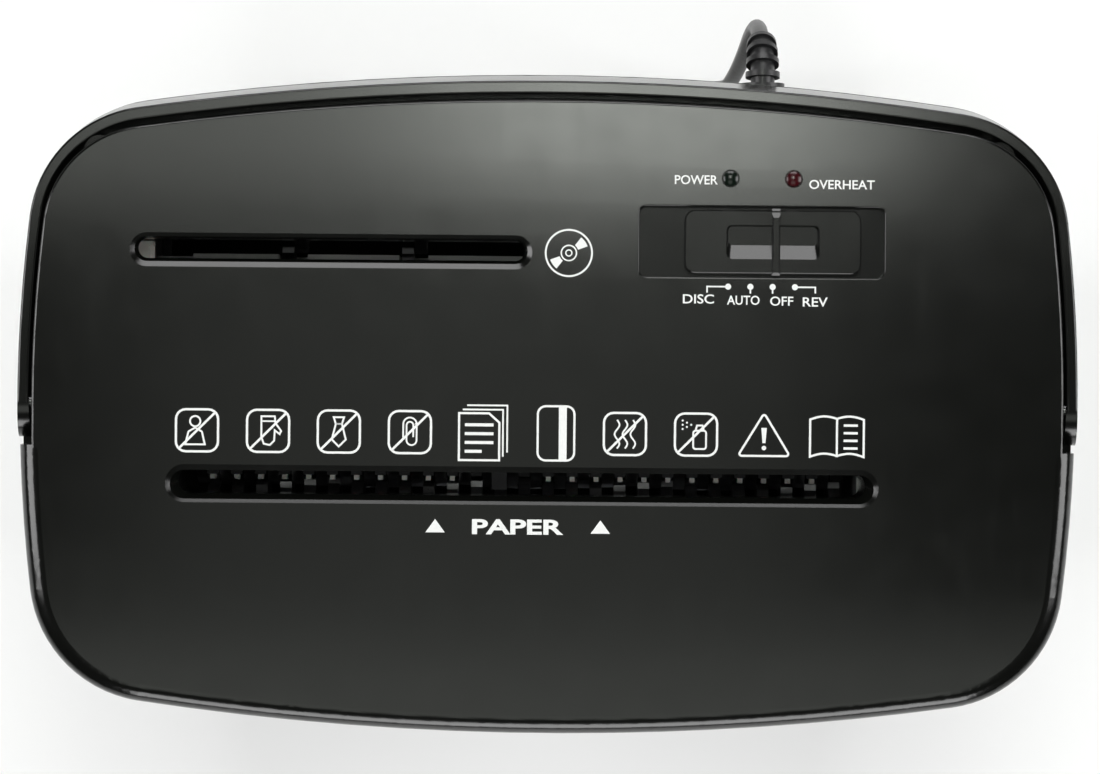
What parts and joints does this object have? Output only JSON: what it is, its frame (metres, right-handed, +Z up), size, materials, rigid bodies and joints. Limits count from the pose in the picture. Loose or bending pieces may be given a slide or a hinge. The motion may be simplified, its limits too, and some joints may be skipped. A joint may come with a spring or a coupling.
{
  "type": "paper shredder",
  "caption": "Strip-cut paper and disc shredder: arched black head with a folding carry handle and slide switch, resting on a windowed waste bin, with a mains cord.",
  "frame": {"origin": "centre of the footprint at the floor, under the bin's feet", "axes": "+Z up, +Y towards the handle and the cord, +X to the right of a user facing the switch side"},
  "size_m": [0.355, 0.2477, 0.4027],
  "materials": {
    "cover_plastic": "moulded black ABS, fine grain, satin",
    "housing_plastic": "moulded black ABS, fine grain",
    "handle_plastic": "moulded black ABS, smoother satin",
    "bin_plastic": "moulded black polypropylene, satin",
    "window_plastic": "smoked clear polystyrene",
    "knob_plastic": "polished black ABS",
    "inner_plastic": "black nylon",
    "pale_nylon": "natural nylon",
    "gear_nylon": "natural acetal",
    "steel_plate": "zinc plated sheet",
    "cutter_steel": "hardened, lightly oiled",
    "shaft_steel": "ground",
    "screw_steel": "zinc plated",
    "bronze": "sintered bronze",
    "motor_steel": "laminated core, grey",
    "motor_bell": "die cast",
    "copper": "varnished winding and core",
    "green_lamp": "unlit green lens",
    "red_lamp": "unlit red lens",
    "board": "coated circuit board",
    "component": "moulded component cases",
    "rubber": "black rubber feet",
    "cord_pvc": "black PVC sheath",
    "plug_plastic": "moulded PVC",
    "plug_blade": "nickel brass"
  },
  "bodies": {
    "bin": {"bin_shell": "bin_plastic", "bin_window": "window_plastic", "bin_feet": "rubber"},
    "head": {"bottom_housing": "housing_plastic", "top_cover": "cover_plastic", "handle_pivot_pins": "shaft_steel", "selector_switch": "inner_plastic", "power_lamp": "green_lamp", "overheat_lamp": "red_lamp", "control_board": "board", "board_components": "component", "wire_connector": "pale_nylon", "thermal_cutout": "component", "sensor_pin": "shaft_steel", "interlock_switch": "component", "casing_screws": "screw_steel", "frame_screws": "screw_steel", "left_frame_plate": "steel_plate", "right_frame_plate": "steel_plate", "disc_bearing_bracket": "steel_plate", "tie_rods": "shaft_steel", "bearing_bushes": "bronze", "rear_stripper_comb": "inner_plastic", "front_stripper_comb": "inner_plastic", "guide_tips": "pale_nylon", "disc_guide_plate": "steel_plate", "motor_stator": "motor_steel", "motor_end_bells": "motor_bell", "gear_arbors": "shaft_steel", "gear_cover_plate": "steel_plate", "strain_relief": "cord_pvc", "power_cord": "cord_pvc", "plug_lead": "cord_pvc", "cord_hank": "cord_pvc", "cord_tie": "inner_plastic", "mains_plug": "plug_plastic", "plug_pins": "plug_blade"},
    "handle": {"carry_handle": "handle_plastic"},
    "selector": {"switch_knob": "knob_plastic", "switch_toggle": "pale_nylon"},
    "sensor": {"sensor_lever": "inner_plastic"},
    "interlock": {"interlock_plunger": "pale_nylon"},
    "rear_cutter": {"rear_cutter_shaft": "shaft_steel", "rear_cutter_discs": "cutter_steel", "rear_sync_gear": "cutter_steel", "final_gear": "cutter_steel"},
    "front_cutter": {"front_cutter_shaft": "shaft_steel", "front_cutter_discs": "cutter_steel", "front_sync_gear": "cutter_steel"},
    "disc_front": {"disc_front_shaft": "shaft_steel", "disc_front_blades": "cutter_steel", "disc_drive_gear": "gear_nylon"},
    "disc_rear": {"disc_rear_shaft": "shaft_steel", "disc_rear_blades": "cutter_steel", "disc_pair_gear": "gear_nylon"},
    "first_reduction": {"first_gear": "gear_nylon"},
    "second_reduction": {"second_gear": "cutter_steel"},
    "motor_rotor": {"motor_armature": "copper", "motor_fan": "inner_plastic", "motor_pinion": "cutter_steel"}
  },
  "joints": [
    {"name": "head_lift", "type": "slide", "parent": "bin", "child": "head", "axis": [0, 0, 1], "range_m": [0, 0.06]},
    {"name": "handle_fold", "type": "hinge", "parent": "head", "child": "handle", "pos_m": [0, -0.001, 0.387], "axis": [1, 0, 0], "range_deg": [0, 90]},
    {"name": "switch_slide", "type": "slide", "parent": "head", "child": "selector", "axis": [1, 0, 0], "range_m": [-0.0145, 0.00725]},
    {"name": "sensor_press", "type": "hinge", "parent": "head", "child": "sensor", "pos_m": [-0.016, -0.014, 0.378], "axis": [1, 0, 0], "range_deg": [0, 15], "stiffness_Nm_per_rad": 0.01, "springref_deg": -17.19},
    {"name": "interlock_press", "type": "slide", "parent": "head", "child": "interlock", "axis": [0, 0, 1], "range_m": [0, 0.003], "stiffness_N_per_m": 150, "springref_m": -0.002},
    {"name": "rear_cutter_spin", "type": "hinge", "parent": "head", "child": "rear_cutter", "pos_m": [0, -0.0095, 0.345], "axis": [1, 0, 0], "continuous": true},
    {"name": "front_cutter_spin", "type": "hinge", "parent": "head", "child": "front_cutter", "pos_m": [0, -0.0455, 0.345], "axis": [1, 0, 0], "continuous": true},
    {"name": "disc_front_spin", "type": "hinge", "parent": "head", "child": "disc_front", "pos_m": [0, 0.0395, 0.338], "axis": [1, 0, 0], "continuous": true},
    {"name": "disc_rear_spin", "type": "hinge", "parent": "head", "child": "disc_rear", "pos_m": [0, 0.0635, 0.338], "axis": [1, 0, 0], "continuous": true},
    {"name": "second_gear_spin", "type": "hinge", "parent": "head", "child": "second_reduction", "pos_m": [0, 0.00941, 0.37019], "axis": [1, 0, 0], "continuous": true},
    {"name": "first_gear_spin", "type": "hinge", "parent": "head", "child": "first_reduction", "pos_m": [0, 0.02883, 0.34732], "axis": [1, 0, 0], "continuous": true},
    {"name": "motor_spin", "type": "hinge", "parent": "head", "child": "motor_rotor", "pos_m": [0, 0.057, 0.337], "axis": [1, 0, 0], "continuous": true}
  ],
  "couplings": [
    {"joint": "front_cutter_spin", "follows": "rear_cutter_spin", "ratio": -1},
    {"joint": "disc_front_spin", "follows": "rear_cutter_spin", "ratio": -0.57143},
    {"joint": "disc_rear_spin", "follows": "rear_cutter_spin", "ratio": 0.57143},
    {"joint": "second_gear_spin", "follows": "rear_cutter_spin", "ratio": -2.5},
    {"joint": "first_gear_spin", "follows": "rear_cutter_spin", "ratio": 7.5},
    {"joint": "motor_spin", "follows": "rear_cutter_spin", "ratio": -37.5}
  ]
}
